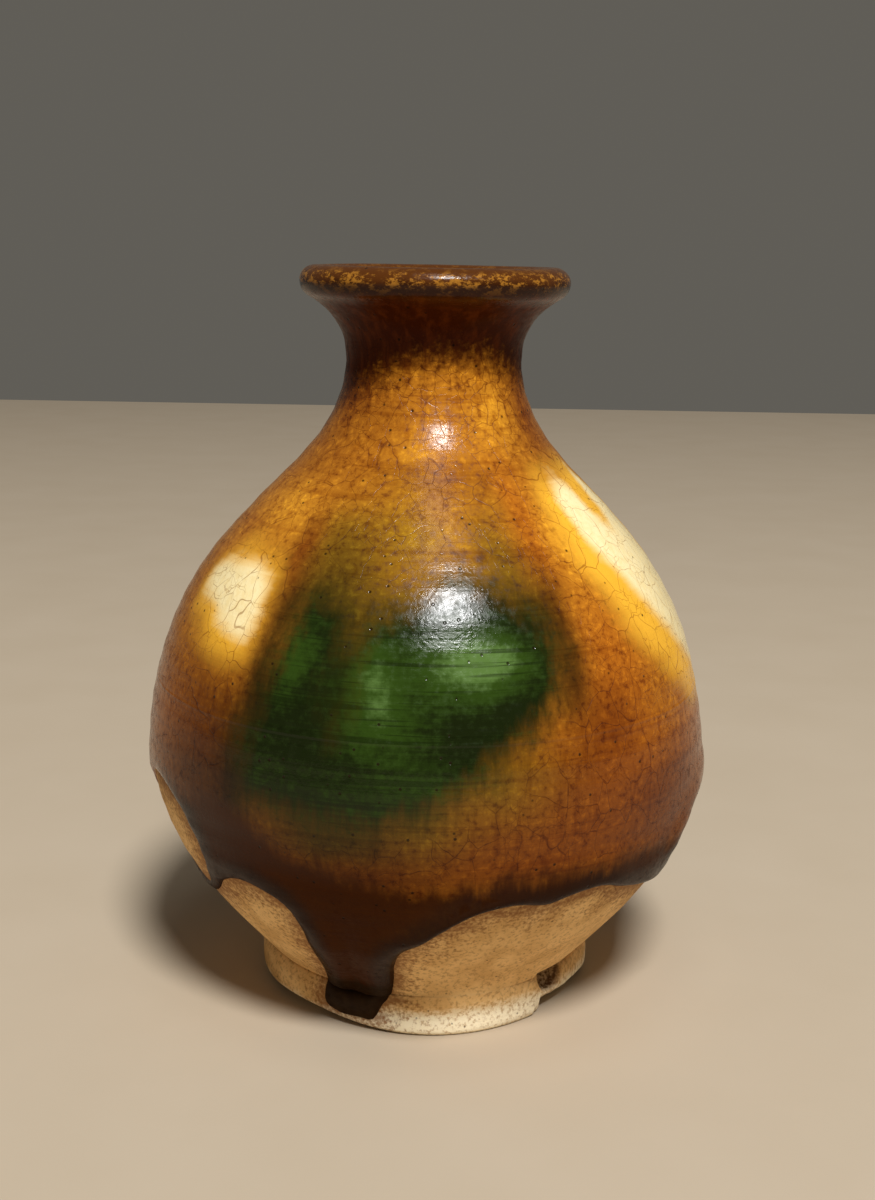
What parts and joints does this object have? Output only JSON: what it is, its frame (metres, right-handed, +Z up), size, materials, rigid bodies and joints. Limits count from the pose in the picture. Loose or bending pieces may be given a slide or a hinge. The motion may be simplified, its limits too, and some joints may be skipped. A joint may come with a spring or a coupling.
{
  "type": "glazed ceramic sake bottle",
  "caption": "Footed globular ceramic bottle with a narrow neck and flared lip, amber, green, cream and brown glazes that end in a thick rolled edge and a long drip over the foot.",
  "frame": {"origin": "centre of the foot ring's resting plane, on the bottle's axis", "axes": "+Z up the bottle's axis towards the mouth, -Y towards the side with the long drip, +X to the right seen from that side"},
  "size_m": [0.0932, 0.0932, 0.12],
  "materials": {
    "bare_clay": "matt bare fired clay, buff to cream, stained brown under the glaze edge",
    "inner_glaze": "dark brown gloss glaze inside the neck and belly",
    "amber_glaze": "crackled golden to reddish amber gloss glaze",
    "green_glaze": "crackled copper green gloss glaze",
    "cream_glaze": "pale cream gloss glaze with yellow borders",
    "brown_glaze": "iron brown gloss glaze, mottled gold on the lip",
    "dark_run_glaze": "thick brown-black run glaze with a high gloss"
  },
  "bodies": {
    "root": {"foot_ring": "bare_clay", "lower_bowl": "bare_clay", "upper_dome": "bare_clay", "neck_and_mouth": "bare_clay", "inner_glaze": "inner_glaze", "amber_glaze": "amber_glaze", "green_glaze": "green_glaze", "cream_glaze": "cream_glaze", "brown_neck_glaze": "brown_glaze", "glaze_roll": "dark_run_glaze", "glaze_drip": "dark_run_glaze"}
  },
  "joints": []
}
